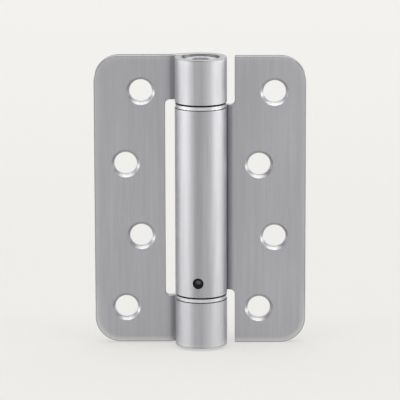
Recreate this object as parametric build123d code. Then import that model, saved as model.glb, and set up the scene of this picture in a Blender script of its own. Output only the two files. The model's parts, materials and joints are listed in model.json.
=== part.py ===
from build123d import *
from math import acos, atan2, cos, degrees, hypot, radians, sin
import os

# Spring hinge with two sheet-steel leaves, four screw holes in each, and an adjustable
# torsion spring in the rolled barrel. Millimetres. +Z runs up the pin axis and the origin
# lies on that axis at mid height. The front, where the barrel stands out and the screw
# heads sit, faces -Y. The hinge is open flat: knuckle leaf at -X, barrel leaf at +X.

# Sheet and leaves
SHEET = 2.52
LEAF_HEIGHT = 101.6
PLATE_WIDTH = 24.65
PLATE_CORNER_R = 8.9
PLATE_FRONT = 3.26  # how far the plates' front faces lie behind the pin axis
KNUCKLE_LEAF_GAP = 12.38  # pin axis to the inner edge of the plate
BARREL_LEAF_GAP = 11.75
NOTCH_CORNER_R = 1.6
LEAF_DROP = 0.43  # the barrel leaf hangs this much lower

# Rolled knuckles
BARREL_R = 9.0
BEND_START = 11.4  # pin axis to the line where the plate starts to bend back
BEND_R = 3.0  # of the middle of the sheet, at that bend
ROLL_GAP = 2.5  # degrees between the rolled end and the leaf's own root
PLATE_CHAMFER = 0.15

# Heights along the pin, from the knuckle leaf's lower end
LOWER_KNUCKLE_BOTTOM = 0.4  # its end is faced this far up
FACING_R = 9.5
LOWER_KNUCKLE_TOP = 16.45
BARREL_BOTTOM = 18.5
BARREL_TOP = 84.05
UPPER_KNUCKLE_BOTTOM = 86.1

# Screw holes, staggered, with 90 degree countersinks
HOLE_R = 3.95
COUNTERSINK_R = 4.9
HOLE_PITCH = 25.55
HOLE_INNER = 8.4  # from the plate's inner edge
HOLE_OUTER = 13.75

# Thrust rings at the ends of the long barrel
RING_R = 8.85
RING_THICKNESS = 2.0
RING_FACE_R = 7.6  # of the raised faces that bear on the knuckles
RING_UPPER_FACE = 0.6  # how far they stand out
RING_LOWER_FACE = 0.25

# Spring seat and lower pivot: pressed into the short knuckles, running in the barrel
PIVOT_GAP = 0.04
RUNNING_GAP = 0.1
SEAT_LENGTH = 15.0
SEAT_BOTTOM = 78.6
SEAT_SPIGOT_LENGTH = 3.5
PIVOT_LENGTH = 11.6
PIVOT_TOP = 20.7
SPIGOT_R = 3.95

# Adjuster: spindle with a hex-socket head, and its collar
SHAFT_R = 2.75
HEAD_R = 6.1
HEAD_BELOW_RIM = 0.8
HEAD_CHAMFER = 0.4
KEY_FLATS = 6.0
KEY_DEPTH = 5.5
SHAFT_END = 4.0  # above the knuckle leaf's lower end
SHAFT_FLAT = 2.1  # pin axis to the flat that drives the collar
COLLAR_R = 5.4
COLLAR_BOTTOM = 21.2
COLLAR_LENGTH = 7.0
COLLAR_SPIGOT_LENGTH = 4.6
COLLAR_GAP = 0.02
WASHER_R = 5.8
WASHER_THICKNESS = 0.6
CIRCLIP_R = 4.4
CIRCLIP_THICKNESS = 0.7
CIRCLIP_GROOVE_R = 2.2
CIRCLIP_OPENING = 3.0
STACK_GAP = 0.05

# Torsion spring of rectangular wire
SPRING_R = 5.2
WIRE_WIDTH = 2.0
WIRE_HEIGHT = 2.6
SPRING_PITCH = 3.3
SPRING_TURNS = 14
SPRING_FLATS = 14  # a turn is made of this many straight flats
SPRING_BOTTOM = 30.9  # middle of the wire where the spring starts
TANG_INNER = 3.2
TANG_WIDTH = 1.9
TANG_HEIGHT = 2.2
TANG_SLOT = 2.3
TANG_SLOT_DEPTH = 3.2
TANG_INSET = 1.1  # its middle, sideways from the end of the coil
TANG_SHIFT = 0.1  # along the pin, so that it lies within the sloping wire

# Lock screw, set a little to the left of the barrel's front
LOCK_HEIGHT = 23.56
LOCK_ANGLE = 7.0
LOCK_HOLE_R = 1.9
LOCK_SCREW_R = 1.82
LOCK_OUTER = 8.75  # outer end of the screw, from the pin axis
LOCK_CHAMFER = 0.25
LOCK_KEY_FLATS = 2.0
LOCK_KEY_DEPTH = 1.6

# Cap that closes the lower knuckle
CAP_THICKNESS = 1.4
CAP_ABOVE_RIM = 0.8

# Sizes that follow from those above
BASE = -(LEAF_HEIGHT - LEAF_DROP) / 2
RIM = BASE + LEAF_HEIGHT
BORE_R = BARREL_R - SHEET
PLATE_BACK = PLATE_FRONT + SHEET
PIVOT_R = BORE_R - PIVOT_GAP
SHAFT_BORE_R = SHAFT_R + RUNNING_GAP
SEAT_LOW = BASE + SEAT_BOTTOM
SEAT_TOP = SEAT_LOW + SEAT_LENGTH
HEAD_BOTTOM = SEAT_TOP + WASHER_THICKNESS + 2 * STACK_GAP
HEAD_TOP = RIM - HEAD_BELOW_RIM
PIVOT_LOW = BASE + PIVOT_TOP - PIVOT_LENGTH
CIRCLIP_TOP = PIVOT_LOW - WASHER_THICKNESS - 2 * STACK_GAP
SHOULDER = BASE + COLLAR_BOTTOM + COLLAR_LENGTH
COLLAR_TOP = SHOULDER + COLLAR_SPIGOT_LENGTH
SPRING_LENGTH = SPRING_PITCH * SPRING_TURNS


def turned(*outline):
    """A solid of revolution about the pin axis, from (radius, height) points."""
    return revolve(Plane.XZ * make_face(Polyline(*outline, close=True)), Axis.Z)


def tube(low, high, outer, inner):
    return turned((inner, low), (outer, low), (outer, high), (inner, high))


def hexagon(flats, depth):
    """A hexagonal prism from z = 0 down."""
    return extrude(RegularPolygon(flats / 2, 6, major_radius=False), -depth)


def sheet_section(reach):
    """Section of one bent sheet, plate at -X: plate, joggled root and rolled knuckle."""
    half = SHEET / 2
    drop = PLATE_FRONT + half + BEND_R
    middle = BARREL_R - half + BEND_R
    lean = atan2(BEND_START, drop) - acos(middle / hypot(BEND_START, drop))
    start = 90 + degrees(lean)
    wrap = 360 - degrees(acos(BORE_R / BARREL_R)) - ROLL_GAP
    end = radians(start - wrap)
    bend = Vector(-BEND_START, drop)
    across = Vector(sin(lean), -cos(lean))
    rolled_end = Vector(cos(end), sin(end))
    return make_face([
        Line((-reach, PLATE_BACK), (-reach, PLATE_FRONT)),
        Line((-reach, PLATE_FRONT), (-BEND_START, PLATE_FRONT)),
        CenterArc(bend, BEND_R + half, -90, degrees(lean)),
        Line(bend + across * (BEND_R + half), across * -BORE_R),
        CenterArc((0, 0), BORE_R, start, -wrap),
        Line(rolled_end * BORE_R, rolled_end * BARREL_R),
        CenterArc((0, 0), BARREL_R, start, -wrap),
        Line(across * -BARREL_R, bend + across * (BEND_R - half)),
        CenterArc(bend, BEND_R - half, -90, degrees(lean)),
        Line((-BEND_START, PLATE_BACK), (-reach, PLATE_BACK)),
    ])


def leaf_blank(gap, spans):
    """Front view of a leaf, centred in height: the plate and the strips that are rolled up."""
    plate = Pos(-gap - PLATE_WIDTH / 2, 0) * Rectangle(PLATE_WIDTH, LEAF_HEIGHT)
    blank = fillet(plate.vertices().group_by(Axis.X)[0], PLATE_CORNER_R)
    for low, high in spans:
        strip = Rectangle(gap + BARREL_R + 1, high - low, align=(Align.MIN, Align.MIN))
        blank += Pos(-gap, low) * strip
    notches = [
        v for v in blank.vertices()
        if abs(v.X + gap) < 0.001 and abs(v.Y) < LEAF_HEIGHT / 2 - NOTCH_CORNER_R
    ]
    return fillet(notches, NOTCH_CORNER_R)


def is_plate_rim(edge):
    flat = edge.bounding_box().size.Y < 0.001
    return flat and abs(edge.center().Y - PLATE_FRONT) < 0.001


def leaf(gap, spans, first_column):
    """One leaf cut, rolled and drilled from one sheet, with its plate at -X."""
    section = Pos(0, 0, -LEAF_HEIGHT / 2) * sheet_section(gap + PLATE_WIDTH)
    blank = extrude(Plane.XZ * leaf_blank(gap, spans), 2 * BARREL_R, both=True)
    body = extrude(section, LEAF_HEIGHT) & blank
    body = chamfer(body.edges().filter_by(is_plate_rim), PLATE_CHAMFER)
    for row in range(4):
        column = first_column if row % 2 == 0 else HOLE_INNER + HOLE_OUTER - first_column
        spot = (-gap - column, PLATE_FRONT, (1.5 - row) * HOLE_PITCH)
        front = Plane(spot, x_dir=(1, 0, 0), z_dir=(0, -1, 0))
        body -= front * CounterSinkHole(HOLE_R, COUNTERSINK_R, SHEET, 90)
    return body


def thrust_ring(low):
    """Ring between two knuckles, from this height up, with a raised face at each end."""
    inner = PIVOT_R + RUNNING_GAP
    high = low + RING_THICKNESS
    return turned(
        (inner, low),
        (RING_FACE_R, low),
        (RING_FACE_R, low + RING_LOWER_FACE),
        (RING_R, low + RING_LOWER_FACE),
        (RING_R, high - RING_UPPER_FACE),
        (RING_FACE_R, high - RING_UPPER_FACE),
        (RING_FACE_R, high),
        (inner, high),
    )


def tang_slot(end, side):
    """Slot for a spring tang, in the end of a spigot; side is the sign of that end."""
    slot = Box(SPIGOT_R, TANG_SLOT, 2 * TANG_SLOT_DEPTH)
    return Pos(SHAFT_R + SPIGOT_R / 2, side * TANG_INSET, end) * slot


def wire_section(step):
    """Corners of the spring's wire at one step along its coil."""
    turn = radians(360 * step / SPRING_FLATS)
    height = SPRING_PITCH * step / SPRING_FLATS
    corners = [(-1, -1), (1, -1), (1, 1), (-1, 1)]
    section = []
    for side, level in corners:
        radius = SPRING_R + side * WIRE_WIDTH / 2
        z = height + level * WIRE_HEIGHT / 2
        section.append(Vector(radius * cos(turn), radius * sin(turn), z))
    return section


def spring():
    """Rectangular wire coiled about the pin axis, with a tang turned inwards at each end."""
    sections = [wire_section(step) for step in range(SPRING_FLATS * SPRING_TURNS + 1)]
    outlines = [sections[0], sections[-1]]
    for here, there in zip(sections, sections[1:]):
        for i in range(4):
            j = (i + 1) % 4
            outlines.append([here[i], here[j], there[j]])
            outlines.append([here[i], there[j], there[i]])
    coil = Solid(Shell([Face(Wire.make_polygon(outline)) for outline in outlines]))
    tang = Box(
        SPRING_R - TANG_INNER, TANG_WIDTH, TANG_HEIGHT,
        align=(Align.MIN, Align.CENTER, Align.CENTER),
    )
    coil += Pos(TANG_INNER, TANG_INSET, TANG_SHIFT) * tang
    coil += Pos(TANG_INNER, -TANG_INSET, SPRING_LENGTH - TANG_SHIFT) * tang
    return Pos(0, 0, BASE + SPRING_BOTTOM) * coil


def at_lock_screw(radius):
    """Plane across the lock screw at this distance from the pin axis, its z pointing out."""
    turn = radians(LOCK_ANGLE)
    out = Vector(-sin(turn), -cos(turn), 0)
    return Plane(out * radius + Vector(0, 0, BASE + LOCK_HEIGHT), x_dir=(0, 0, 1), z_dir=out)


# The two leaves
half_height = LEAF_HEIGHT / 2
knuckle_spans = [
    (-half_height, LOWER_KNUCKLE_TOP - half_height),
    (UPPER_KNUCKLE_BOTTOM - half_height, half_height),
]
barrel_span = [
    (BARREL_BOTTOM + LEAF_DROP - half_height, BARREL_TOP + LEAF_DROP - half_height),
]
leaf_middle = LEAF_DROP / 2
knuckle_leaf = Pos(0, 0, leaf_middle) * leaf(KNUCKLE_LEAF_GAP, knuckle_spans, HOLE_INNER)
knuckle_leaf -= Pos(0, 0, BASE) * Cylinder(FACING_R, 2 * LOWER_KNUCKLE_BOTTOM)
barrel_leaf = mirror(leaf(BARREL_LEAF_GAP, barrel_span, HOLE_OUTER), Plane.YZ)
barrel_leaf = Pos(0, 0, -leaf_middle) * barrel_leaf
barrel_leaf -= at_lock_screw(BARREL_R - SHEET / 2) * Cylinder(LOCK_HOLE_R, 2 * SHEET)

# Thrust rings and pivots
upper_thrust_ring = thrust_ring(BASE + BARREL_TOP)
lower_thrust_ring = thrust_ring(BASE + BARREL_BOTTOM - RING_THICKNESS)
spigot_end = SEAT_LOW - SEAT_SPIGOT_LENGTH
upper_spring_seat = turned(
    (SHAFT_BORE_R, spigot_end),
    (SPIGOT_R, spigot_end),
    (SPIGOT_R, SEAT_LOW),
    (PIVOT_R, SEAT_LOW),
    (PIVOT_R, SEAT_TOP),
    (SHAFT_BORE_R, SEAT_TOP),
)
upper_spring_seat -= tang_slot(spigot_end, -1)
lower_pivot_plug = tube(PIVOT_LOW, BASE + PIVOT_TOP, PIVOT_R, SHAFT_BORE_R)

# Adjuster
groove_low = CIRCLIP_TOP - CIRCLIP_THICKNESS - STACK_GAP
groove_top = CIRCLIP_TOP + STACK_GAP
adjuster_spindle = turned(
    (0, BASE + SHAFT_END),
    (SHAFT_R, BASE + SHAFT_END),
    (SHAFT_R, groove_low),
    (CIRCLIP_GROOVE_R, groove_low),
    (CIRCLIP_GROOVE_R, groove_top),
    (SHAFT_R, groove_top),
    (SHAFT_R, HEAD_BOTTOM),
    (HEAD_R, HEAD_BOTTOM),
    (HEAD_R, HEAD_TOP - HEAD_CHAMFER),
    (HEAD_R - HEAD_CHAMFER, HEAD_TOP),
    (0, HEAD_TOP),
)
adjuster_spindle -= Pos(0, 0, HEAD_TOP) * hexagon(KEY_FLATS, KEY_DEPTH)
flat = Box(2 * SHAFT_R, SHAFT_R, LEAF_HEIGHT, align=(Align.CENTER, Align.MIN, Align.MAX))
adjuster_spindle -= Pos(0, SHAFT_FLAT, COLLAR_TOP) * flat
winding_collar = turned(
    (0, BASE + COLLAR_BOTTOM),
    (COLLAR_R, BASE + COLLAR_BOTTOM),
    (COLLAR_R, SHOULDER),
    (SPIGOT_R, SHOULDER),
    (SPIGOT_R, COLLAR_TOP),
    (0, COLLAR_TOP),
)
bore = Circle(SHAFT_R + COLLAR_GAP) - Pos(0, SHAFT_FLAT + COLLAR_GAP + SHAFT_R) * Rectangle(
    2 * COLLAR_R, 2 * SHAFT_R
)
winding_collar -= extrude(bore, LEAF_HEIGHT, both=True)
winding_collar -= tang_slot(COLLAR_TOP, 1)
head_washer = tube(SEAT_TOP + STACK_GAP, HEAD_BOTTOM - STACK_GAP, WASHER_R, SHAFT_BORE_R)
foot_washer = tube(CIRCLIP_TOP + STACK_GAP, PIVOT_LOW - STACK_GAP, WASHER_R, SHAFT_BORE_R)
circlip = tube(
    CIRCLIP_TOP - CIRCLIP_THICKNESS, CIRCLIP_TOP, CIRCLIP_R, CIRCLIP_GROOVE_R + STACK_GAP
)
circlip -= Pos(0, CIRCLIP_R, CIRCLIP_TOP) * Box(CIRCLIP_OPENING, 2 * CIRCLIP_R, 2 * CIRCLIP_R)

# Lock screw, its tip against the collar
lock_tip = COLLAR_R + STACK_GAP
lock_screw = at_lock_screw(lock_tip) * Cylinder(
    LOCK_SCREW_R, LOCK_OUTER - lock_tip, align=(Align.CENTER, Align.CENTER, Align.MIN)
)
outer_end = lock_screw.faces().sort_by(Axis.Y)[0]
lock_screw = chamfer(outer_end.edges(), LOCK_CHAMFER)
lock_screw -= at_lock_screw(LOCK_OUTER) * hexagon(LOCK_KEY_FLATS, LOCK_KEY_DEPTH)

# Cap
cap_low = BASE + CAP_ABOVE_RIM
bottom_cap = Pos(0, 0, cap_low) * Cylinder(
    PIVOT_R, CAP_THICKNESS, align=(Align.CENTER, Align.CENTER, Align.MIN)
)

parts = {
    "knuckle_leaf": knuckle_leaf,
    "barrel_leaf": barrel_leaf,
    "upper_thrust_ring": upper_thrust_ring,
    "lower_thrust_ring": lower_thrust_ring,
    "upper_spring_seat": upper_spring_seat,
    "lower_pivot_plug": lower_pivot_plug,
    "adjuster_spindle": adjuster_spindle,
    "winding_collar": winding_collar,
    "torsion_spring": spring(),
    "head_washer": head_washer,
    "foot_washer": foot_washer,
    "circlip": circlip,
    "lock_screw": lock_screw,
    "bottom_cap": bottom_cap,
}
os.makedirs("parts", exist_ok=True)
for name, shape in parts.items():
    export_step(shape, f"parts/{name}.step")
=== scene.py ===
import json
import math

import bpy
from mathutils import Matrix, Vector


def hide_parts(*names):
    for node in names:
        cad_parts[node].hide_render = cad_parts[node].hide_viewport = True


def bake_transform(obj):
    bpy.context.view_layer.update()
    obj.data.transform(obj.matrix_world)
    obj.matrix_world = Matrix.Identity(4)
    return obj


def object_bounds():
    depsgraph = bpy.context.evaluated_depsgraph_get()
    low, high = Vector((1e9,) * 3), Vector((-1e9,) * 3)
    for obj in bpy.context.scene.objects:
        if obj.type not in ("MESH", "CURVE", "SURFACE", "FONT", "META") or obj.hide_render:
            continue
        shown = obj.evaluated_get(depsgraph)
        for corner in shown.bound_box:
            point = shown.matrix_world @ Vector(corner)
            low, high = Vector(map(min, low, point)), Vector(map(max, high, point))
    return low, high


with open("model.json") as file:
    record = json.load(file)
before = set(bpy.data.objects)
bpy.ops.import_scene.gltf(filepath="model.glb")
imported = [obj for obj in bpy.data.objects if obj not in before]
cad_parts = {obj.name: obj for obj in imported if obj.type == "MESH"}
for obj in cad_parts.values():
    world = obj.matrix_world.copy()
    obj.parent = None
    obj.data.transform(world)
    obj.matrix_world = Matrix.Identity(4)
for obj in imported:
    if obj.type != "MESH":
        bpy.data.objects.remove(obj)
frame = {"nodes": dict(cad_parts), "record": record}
cad_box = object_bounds()
nodes = frame["nodes"]

# Camera, fitted to the photograph's perspective
CAMERA_TARGET = Vector((0.0, 0.0, 0.000215))
CAMERA_DISTANCE = 1.060
CAMERA_ELEVATION = math.radians(12.16)
CAMERA_ROLL = math.radians(-0.14)
CAMERA_SENSOR = 36.0
CAMERA_LENS = 275.3
CAMERA_SHIFT = (-0.0026, 0.0035)
CAMERA_CLIP = (0.01, 100.0)

# Stage: the camera and the metal see the background grey in the world and the floor, while
# what the world throws on the object is the weaker ambient grey
BACKGROUND = (0.89, 0.882, 0.864)
AMBIENT = 0.40
FLOOR_GAP = 0.0001
FLOOR_RADIUS = 6.0
FLOOR_CORNERS = 96
FLOOR_COLOUR = (0.69, 0.679, 0.660)
FLOOR_ROUGHNESS = 0.9

# The floor's glow: its share in what is seen, and its strength between two depths
FLOOR_GLOW = 0.6
FLOOR_BRIGHTNESS = (0.962, 1.085)
FLOOR_DEPTH = (0.15, 0.82)

# Lamps: their colour, and the name, location, aim, size and power of each
LAMP_COLOUR = (0.99, 1.0, 0.96)
SOFTBOXES = (
    ("left_softbox", (-3.60, -0.45, 0.16), (0, 0, 0), (5.4, 0.42), 82),
    ("right_softbox", (3.60, 0.10, 0.16), (0, 0, 0), (5.4, 0.42), 87),
    ("top_softbox", (0, 0.8, 2.2), (0, 0.8, -0.05), (3.0, 2.0), 24),
    ("front_softbox", (0, -0.4, 2.1), (0, -0.1, -0.05), (4.0, 0.8), 34),
)

# Grain: noises as (scale, stretch, share of the tone)
EVEN = (1, 1, 1)
RINGS = (40, 40, 1)
SATIN_GRAIN = ((2600, (1, 1, 60), 0.40), (800, (1, 1, 20), 0.32), (70, (1, 1, 3), 0.28))
FINE_SHARE = 0.6
CLOUDS = (70, EVEN, 0.4)
NOISE_RANGE = (0.3, 0.7)
BUMP_DEPTH = 0.00002

# Metal, and the colours painted in for shade and light
SATIN_TONES = ((0.357, 0.356, 0.381), (0.459, 0.458, 0.489))
SATIN_ROUGHNESS = (0.36, 0.48)
SATIN_BUMP = 0.25
NEUTRAL = (1.0, 0.995, 1.04)
# Painted shade: near-black put where shade falls, in creases, bores, round the foot, on the rings'
# inner faces and along the leaves' rims; it also paints a dark reflection along the barrel's front
PAINTED_SHADE = (0.02, 0.02, 0.022)
# Painted highlight along the leaves' outline, most low down
EDGE_HIGHLIGHT = (0.62, 0.61, 0.62)
# Painted highlight on the knuckles' front, right of the middle
KNUCKLE_HIGHLIGHT = (0.61, 0.61, 0.65)
# Painted light inside the spindle's hex socket
SPINDLE_SOCKET = (0.72, 0.715, 0.735)
# Painted light inside the lock screw's socket
SCREW_SOCKET = (0.16, 0.16, 0.17)

# How much a distance along each axis counts near a spot: 0 makes the spot a line
UPRIGHT = (1, 1, 0)
THROUGH = (1, 0, 1)
DRAWN_UP = (1, 1, 0.3)

# Places of painted shade and light, which come or go between a pair's two values
PIN_AXIS = (0, 0, 0)
LOCK_SCREW = (-0.00107, 0, -0.02703)
RING_INSIDE = (0.0086, 0.0088)
BORE_INSIDE = (0.0066, 0.0069)
SPINDLE_SOCKET_INSIDE = (0.0034, 0.0038)
SCREW_SOCKET_INSIDE = (0.0008, 0.0011)
FOOT_HEIGHTS = (-0.05010, -0.04965)
KNUCKLE_SIDE = (0.0091, 0.0099)

# Painted edge highlight: the outline's corners are round, and their centres stand this far from
# its middle;
# the metre in y leaves y out
OUTLINE_R = 0.0089
OUTLINE_CORNER = (0.0278, 1, 0.0419)
EDGE_LIGHT_REACH = (0.0003, 0.0020)
EDGE_LIGHT_HEIGHTS = (-0.045, -0.030)
EDGE_LIGHT_ALOFT = 0.25
KNUCKLE_EDGE_LIGHT = 0.4
RIM_START = (0.00002, 0.00012)
RIM_END = (0.00015, 0.00045)
RIM_AMOUNT = 0.5
CUT_EDGE = 0.8

# Painted shade by the seam: its bounds by the distance from the pin, then in x and in y
SEAM_OUTSIDE = (0.00905, 0.00920)
SEAM_FLANK = (0.0070, 0.0082)
SEAM_FRONT = (-0.0032, -0.0015)
SEAM_BACK = (-0.0002, 0.0012)
SEAM_BEHIND = 0.3
SEAM_PATCHES = (700, (1, 1, 5))
SEAM_THINNEST = 0.75


def make_material(name):
    """An empty node material and its output node."""
    material = bpy.data.materials.new(name)
    material.use_nodes = True
    material.node_tree.nodes.clear()
    output = material.node_tree.nodes.new("ShaderNodeOutputMaterial")
    return material, output


def feed(tree, socket, value):
    """Link a node's output to the socket, or set the socket to a plain value."""
    if isinstance(value, bpy.types.NodeSocket):
        tree.links.new(value, socket)
    else:
        socket.default_value = value


def add(tree, kind, **values):
    """A node of this kind, with the inputs of these names fed."""
    node = tree.nodes.new(kind)
    for key, value in values.items():
        feed(tree, node.inputs[key.replace("_", " ")], value)
    return node


def maths(tree, operation, *values):
    """A Math node over sockets and numbers."""
    node = tree.nodes.new("ShaderNodeMath")
    node.operation = operation
    for socket, value in zip(node.inputs, values):
        feed(tree, socket, value)
    return node.outputs["Value"]


def vectors(tree, operation, *values):
    """A Vector Math node over sockets and vectors; it gives a number where it measures."""
    node = tree.nodes.new("ShaderNodeVectorMath")
    node.operation = operation
    for socket, value in zip(node.inputs, values):
        feed(tree, socket, value)
    measures = operation in ("LENGTH", "DISTANCE")
    return node.outputs["Value" if measures else "Vector"]


def place(tree):
    """The shaded point in object space."""
    return tree.nodes.new("ShaderNodeTexCoord").outputs["Object"]


def along(tree, axis):
    """The shaded point's X, Y or Z in object space."""
    return add(tree, "ShaderNodeSeparateXYZ", Vector=place(tree)).outputs[axis]


def noise(tree, scale, stretch):
    """Noise in object space, drawn out along each axis by the stretch."""
    squeezed = vectors(tree, "DIVIDE", place(tree), stretch)
    node = add(
        tree, "ShaderNodeTexNoise",
        Vector=squeezed, Scale=scale, Detail=4.0, Roughness=0.6,
    )
    return node.outputs["Fac"]


def spread(tree, factor, low, high, source=NOISE_RANGE):
    """The source range of the factor spread between two values, and held beyond it."""
    node = add(
        tree, "ShaderNodeMapRange",
        Value=factor, From_Min=source[0], From_Max=source[1], To_Min=low, To_Max=high,
    )
    return node.outputs["Result"]


def blend(tree, factor, first, second):
    """Colour from the first to the second by the factor; each is a colour or a socket."""
    node = add(tree, "ShaderNodeMix", Factor=factor)
    node.data_type = "RGBA"
    for socket, colour in ((node.inputs[6], first), (node.inputs[7], second)):
        linked = isinstance(colour, bpy.types.NodeSocket)
        feed(tree, socket, colour if linked else (*colour, 1))
    return node.outputs[2]


def seen_rays(tree):
    """1 for rays from the camera, a reflection or glass, 0 for the rest."""
    path = tree.nodes.new("ShaderNodeLightPath")
    seen = path.outputs["Is Camera Ray"]
    for kind in ("Is Glossy Ray", "Is Transmission Ray"):
        seen = maths(tree, "MAXIMUM", seen, path.outputs[kind])
    return seen


def near(tree, tone, spot, reach, amount, colour=PAINTED_SHADE, across=UPRIGHT):
    """The tone turned to a colour near a spot, or near a line where across has a 0: painted shade,
    or painted light where the colour is lighter.

    It is turned by the amount up to the reach's first distance, and not at all from its second.
    """
    flat = vectors(tree, "MULTIPLY", place(tree), across)
    flat_spot = [value * share for value, share in zip(spot, across)]
    distance = vectors(tree, "DISTANCE", flat, flat_spot)
    return blend(tree, spread(tree, distance, amount, 0.0, reach), tone, colour)


def beside_knuckles(tree, on, beside):
    """One value on the knuckles, another on the plate beside them."""
    return spread(tree, maths(tree, "ABSOLUTE", along(tree, "X")), on, beside, KNUCKLE_SIDE)


def painted_foot_shade(tree, tone, amount):
    """Painted shade round the lower end of the bottom knuckle."""
    share = spread(tree, along(tree, "Z"), amount, 0.0, FOOT_HEIGHTS)
    share = maths(tree, "MULTIPLY", share, beside_knuckles(tree, 1.0, 0.0))
    return blend(tree, share, tone, PAINTED_SHADE)


def painted_seam_shade(tree, tone, amount):
    """Painted shade on the barrel's flank, dark and patchy, where the leaf springs from it."""
    radius = vectors(tree, "LENGTH", vectors(tree, "MULTIPLY", place(tree), UPRIGHT))
    share = spread(tree, radius, 1.0, 0.0, SEAM_OUTSIDE)
    for factor in (
        spread(tree, along(tree, "X"), 0.0, 1.0, SEAM_FLANK),
        spread(tree, along(tree, "Y"), 0.0, amount, SEAM_FRONT),
        spread(tree, along(tree, "Y"), 1.0, SEAM_BEHIND, SEAM_BACK),
        spread(tree, noise(tree, *SEAM_PATCHES), SEAM_THINNEST, 1.0),
    ):
        share = maths(tree, "MULTIPLY", share, factor)
    return blend(tree, share, tone, PAINTED_SHADE)


def edge_highlight_and_dark_rim(tree, tone, middle):
    """Painted highlight along the leaf's outline, strongest low down, with a thin rim painted
    dark.
    """
    offset = vectors(tree, "ABSOLUTE", vectors(tree, "SUBTRACT", place(tree), middle))
    beyond = vectors(tree, "SUBTRACT", offset, OUTLINE_CORNER)
    beyond = vectors(tree, "LENGTH", vectors(tree, "MAXIMUM", beyond, (0, 0, 0)))
    depth = maths(tree, "SUBTRACT", OUTLINE_R, beyond)
    lowness = spread(tree, along(tree, "Z"), 1.0, EDGE_LIGHT_ALOFT, EDGE_LIGHT_HEIGHTS)
    edge_light = maths(tree, "MULTIPLY", spread(tree, depth, 1.0, 0.0, EDGE_LIGHT_REACH), lowness)
    edge_light = maths(tree, "MULTIPLY", edge_light, beside_knuckles(tree, KNUCKLE_EDGE_LIGHT, 1.0))
    on_edge = beside_knuckles(tree, 0.0, CUT_EDGE)
    rim = maths(tree, "MAXIMUM", spread(tree, depth, 0.0, 1.0, RIM_START), on_edge)
    rim = maths(tree, "MULTIPLY", rim, spread(tree, depth, RIM_AMOUNT, 0.0, RIM_END))
    return blend(tree, rim, blend(tree, edge_light, tone, EDGE_HIGHLIGHT), PAINTED_SHADE)


def metal(name, tones, rough, grain, bump, painted_light):
    """Metal between two tones by its grain, then changed by each step of its painted light and
    shade.

    The grain's first noise also sets the roughness, in its range, and the bump.
    A step of painted light or shade is a function and its values by name.
    """
    material, output = make_material(name)
    tree = material.node_tree
    layers = [noise(tree, scale, stretch) for scale, stretch, share in grain]
    factor = maths(tree, "MULTIPLY", layers[0], grain[0][2])
    for layer, (scale, stretch, share) in zip(layers[1:], grain[1:]):
        factor = maths(tree, "MULTIPLY_ADD", layer, share, factor)
    tone = blend(tree, spread(tree, factor, 0.0, 1.0), *tones)
    for step, values in painted_light:
        tone = step(tree, tone, **values)
    relief = add(tree, "ShaderNodeBump", Height=layers[0], Strength=bump, Distance=BUMP_DEPTH)
    shader = add(
        tree, "ShaderNodeBsdfPrincipled",
        Base_Color=tone,
        Metallic=1.0,
        Roughness=spread(tree, layers[0], *rough),
        Normal=relief.outputs["Normal"],
    )
    feed(tree, output.inputs["Surface"], shader.outputs["BSDF"])
    return material


def satin(name, lift=1.0, painted_light=()):
    """Satin steel brushed upwards, its tones made lighter by the lift."""
    tones = [[value * lift for value in tone] for tone in SATIN_TONES]
    return metal(name, tones, SATIN_ROUGHNESS, SATIN_GRAIN, SATIN_BUMP, painted_light)


def smooth(name, greys, rough, scale, bump, stretch=EVEN, painted_light=()):
    """Steel with a fine grain of this scale over faint clouds, between two greys."""
    tones = [[grey * share for share in NEUTRAL] for grey in greys]
    return metal(name, tones, rough, ((scale, stretch, FINE_SHARE), CLOUDS), bump, painted_light)


by_slot = {
    # The rings' inner faces are painted dark, as shade where they meet the barrel
    "polished_steel": smooth(
        "polished_steel", greys=(0.60, 0.68), rough=(0.24, 0.32), scale=1500, bump=0.05,
        painted_light=[(near, dict(spot=PIN_AXIS, reach=RING_INSIDE, amount=1.0))],
    ),
    "turned_steel": smooth(
        "turned_steel", greys=(0.38, 0.52), rough=(0.25, 0.38), scale=3000, bump=0.25,
        stretch=RINGS,
    ),
    "spring_steel": smooth(
        "spring_steel", greys=(0.22, 0.32), rough=(0.35, 0.50), scale=1800, bump=0.20,
    ),
    "satin_steel": satin("satin_steel"),
}

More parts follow.
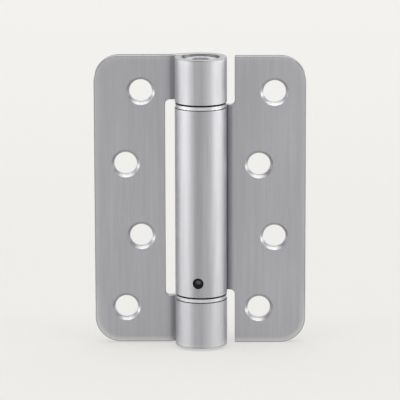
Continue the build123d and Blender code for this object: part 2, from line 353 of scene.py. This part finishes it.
# Nodes with painted shade and light of their own: the knuckle leaf is painted darker, as shade, by
# its seam, in its bores, at its foot and on the upper knuckle's flanks, with a painted highlight
# right of the knuckles' front; the barrel leaf has painted shade by its seam and behind it, and a
# painted dark reflection along the barrel's front
by_node = {
    "knuckle_leaf": satin("satin_knuckle_leaf", lift=1.03, painted_light=[
        (edge_highlight_and_dark_rim, dict(middle=(-0.0003, 0, 0.0002))),
        # Painted shade in the crease left of the knuckles
        (near, dict(spot=(-0.0085, 0.0030, 0), reach=(0.0010, 0.0040), amount=0.2)),
        # Painted shade inside the bores
        (near, dict(spot=PIN_AXIS, reach=BORE_INSIDE, amount=0.35)),
        (painted_foot_shade, dict(amount=0.45)),
        # Painted shade on the upper knuckle's flanks
        *[
            (near, dict(
                spot=(x, -0.0062, 0.044), across=DRAWN_UP, reach=(0.0015, 0.0040), amount=0.10,
            ))
            for x in (-0.0065, 0.0065)
        ],
        # Painted highlight on the knuckles' front, right of the middle
        (near, dict(
            spot=(0.0030, -0.0085, 0), reach=(0.0008, 0.0030), amount=0.45, colour=KNUCKLE_HIGHLIGHT,
        )),
    ]),
    "barrel_leaf": satin("satin_barrel_leaf", lift=1.055, painted_light=[
        (edge_highlight_and_dark_rim, dict(middle=(-0.0003, 0, -0.0002))),
        (painted_seam_shade, dict(amount=0.6)),
        # Painted shade in the crease between the barrel and the leaf
        (near, dict(spot=(0.0086, 0.0040, 0), reach=(0.0006, 0.0015), amount=0.6)),
        # Painted dark reflection along the barrel's front
        (near, dict(spot=(-0.0012, -0.0090, 0), reach=(0.0006, 0.0024), amount=0.16)),
    ]),
    # The spindle's socket is painted lighter, as lit
    "adjuster_spindle": smooth(
        "bright_steel", greys=(0.48, 0.57), rough=(0.50, 0.65), scale=2200, bump=0.10,
        painted_light=[(near, dict(
            spot=PIN_AXIS, reach=SPINDLE_SOCKET_INSIDE, amount=0.5, colour=SPINDLE_SOCKET,
        ))],
    ),
    # The lock screw's socket is painted lighter, as lit
    "lock_screw": smooth(
        "blackened_steel", greys=(0.01, 0.03), rough=(0.30, 0.45), scale=2500, bump=0.15,
        painted_light=[(near, dict(
            spot=LOCK_SCREW, across=THROUGH, reach=SCREW_SOCKET_INSIDE, amount=0.8,
            colour=SCREW_SOCKET,
        ))],
    ),
}
for part in frame["record"]["subparts"]:
    name, slot = part["node"], part["material_slot"]
    node = nodes[name]
    node.data.materials.clear()
    node.data.materials.append(by_node[name] if name in by_node else by_slot[slot])

# Torsion spring: rectangular wire with a bent tang at each end, made in two halves that meet
# at its middle
COIL_R = 0.0052
COIL_BOTTOM = -0.019685
COIL_PITCH = 0.0033
COIL_TURNS = 14
STEPS_A_TURN = 48
WIRE_HALF = (0.0010, 0.0013)
WIRE_ROUNDING = 0.0003
ROUNDING_STEPS = 3
TANG_HALF_HEIGHT = 0.0011
TANG_END = 0.0032
TANG_OFFSET = 0.0011
TANG_RISE = 0.0001
TANG_BEND_R = 0.0011
TANG_BEND_STEPS = 10
SHARP_ANGLE = math.radians(50)

coil_middle = COIL_BOTTOM + COIL_PITCH * COIL_TURNS / 2


def wire_outline(half_height):
    """Points round the wire's rounded section, as (outward, upward)."""
    out = WIRE_HALF[0] - WIRE_ROUNDING
    up = half_height - WIRE_ROUNDING
    points = []
    for corner in range(4):
        side = 1 if corner in (0, 3) else -1
        level = 1 if corner in (0, 1) else -1
        for step in range(ROUNDING_STEPS + 1):
            angle = math.radians(90) * (corner + step / ROUNDING_STEPS)
            points.append((
                side * out + WIRE_ROUNDING * math.cos(angle),
                level * up + WIRE_ROUNDING * math.sin(angle),
            ))
    return points


def half_coil_path():
    """Stations of the wire from its lower tang to its middle, as (point, outward, half height).

    Their heights are from the coil's bottom.
    """
    bend_y = TANG_OFFSET + TANG_BEND_R
    bend_x = math.sqrt((COIL_R - TANG_BEND_R) ** 2 - bend_y ** 2)
    joint = math.atan2(bend_y, bend_x)
    joint_rise = COIL_PITCH * joint / math.tau
    path = [(Vector((TANG_END, TANG_OFFSET, TANG_RISE)), Vector((0, -1, 0)), TANG_HALF_HEIGHT)]
    for step in range(TANG_BEND_STEPS + 1):
        share = step / TANG_BEND_STEPS
        angle = -math.pi / 2 + share * (math.pi / 2 + joint)
        outward = Vector((math.cos(angle), math.sin(angle), 0))
        rise = TANG_RISE + share * (joint_rise - TANG_RISE)
        point = Vector((bend_x, bend_y, rise)) + outward * TANG_BEND_R
        path.append((point, outward, TANG_HALF_HEIGHT + share * (WIRE_HALF[1] - TANG_HALF_HEIGHT)))
    steps = STEPS_A_TURN * COIL_TURNS // 2
    end = math.pi * COIL_TURNS
    for step in range(1, steps + 1):
        angle = joint + (end - joint) * step / steps
        outward = Vector((math.cos(angle), math.sin(angle), 0))
        point = outward * COIL_R + Vector((0, 0, COIL_PITCH * angle / math.tau))
        path.append((point, outward, WIRE_HALF[1]))
    return path


def half_coil(name, flip):
    """Half of the spring: flip 1 is the lower one, -1 the same turned over about the middle."""
    vertices = []
    faces = []
    path = half_coil_path()
    for point, outward, half_height in path:
        for out, up in wire_outline(half_height):
            corner = point + outward * out + Vector((0, 0, COIL_BOTTOM + up))
            height = coil_middle + flip * (corner.z - coil_middle)
            vertices.append((corner.x, flip * corner.y, height))
    count = len(vertices) // len(path)
    for row in range(len(path) - 1):
        for i in range(count):
            j = (i + 1) % count
            here = row * count
            faces.append((here + i, here + count + i, here + count + j, here + j))
    faces.append(tuple(range(count)))
    faces.append(tuple(reversed(range(len(vertices) - count, len(vertices)))))
    mesh = bpy.data.meshes.new(name)
    mesh.from_pydata(vertices, [], faces)
    mesh.validate()
    mesh.shade_smooth()
    mesh.set_sharp_from_angle(angle=SHARP_ANGLE)
    mesh.materials.append(by_slot["spring_steel"])
    piece = bpy.data.objects.new(name, mesh)
    bpy.context.scene.collection.objects.link(piece)
    return piece


lower_coil = half_coil("torsion_spring_lower_half", 1)
upper_coil = half_coil("torsion_spring_upper_half", -1)
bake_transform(lower_coil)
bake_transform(upper_coil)
for piece in (lower_coil, upper_coil):
    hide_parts("torsion_spring")

# Floor, pale, keeping the object's shadow
bpy.ops.mesh.primitive_circle_add(vertices=FLOOR_CORNERS, radius=FLOOR_RADIUS, fill_type="NGON")
floor = bpy.context.object
floor.name = "floor"
floor.location = (0, 0, cad_box[0].z - FLOOR_GAP)
material, output = make_material("floor")
tree = material.node_tree
matt = add(
    tree, "ShaderNodeBsdfPrincipled",
    Base_Color=(*FLOOR_COLOUR, 1), Roughness=FLOOR_ROUGHNESS,
)
brightness = spread(tree, along(tree, "Y"), *FLOOR_BRIGHTNESS, FLOOR_DEPTH)
glow = add(tree, "ShaderNodeEmission", Color=(*BACKGROUND, 1), Strength=brightness)
glow_share = maths(tree, "MULTIPLY", seen_rays(tree), FLOOR_GLOW)
shader = add(tree, "ShaderNodeMixShader", Fac=glow_share)
feed(tree, shader.inputs[1], matt.outputs["BSDF"])
feed(tree, shader.inputs[2], glow.outputs["Emission"])
feed(tree, output.inputs["Surface"], shader.outputs["Shader"])
floor.data.materials.append(material)

# Light
for name, location, aim, size, power in SOFTBOXES:
    lamp = bpy.data.lights.new(name, "AREA")
    lamp.shape = "RECTANGLE"
    lamp.size, lamp.size_y = size
    lamp.energy = power
    lamp.color = LAMP_COLOUR
    softbox = bpy.data.objects.new(name, lamp)
    bpy.context.scene.collection.objects.link(softbox)
    softbox.location = location
    direction = Vector(aim) - Vector(location)
    softbox.rotation_euler = direction.to_track_quat("-Z", "Y").to_euler()

world = bpy.data.worlds.new("studio")
bpy.context.scene.world = world
world.use_nodes = True
tree = world.node_tree
sky = tree.nodes["Background"]
feed(tree, sky.inputs["Color"], blend(tree, seen_rays(tree), (AMBIENT,) * 3, BACKGROUND))

# Camera
camera_data = bpy.data.cameras.new("camera")
camera_data.sensor_width = CAMERA_SENSOR
camera_data.lens = CAMERA_LENS
camera_data.shift_x, camera_data.shift_y = CAMERA_SHIFT
camera_data.clip_start, camera_data.clip_end = CAMERA_CLIP
camera = bpy.data.objects.new("camera", camera_data)
bpy.context.scene.collection.objects.link(camera)
back = Vector((0, -math.cos(CAMERA_ELEVATION), math.sin(CAMERA_ELEVATION)))
turn = (-back).to_track_quat("-Z", "Y").to_matrix().to_4x4()
roll = Matrix.Rotation(CAMERA_ROLL, 4, "Z")
camera.matrix_world = Matrix.Translation(CAMERA_TARGET + back * CAMERA_DISTANCE) @ turn @ roll
bpy.context.scene.camera = camera
bpy.context.scene.view_settings.view_transform = "Standard"
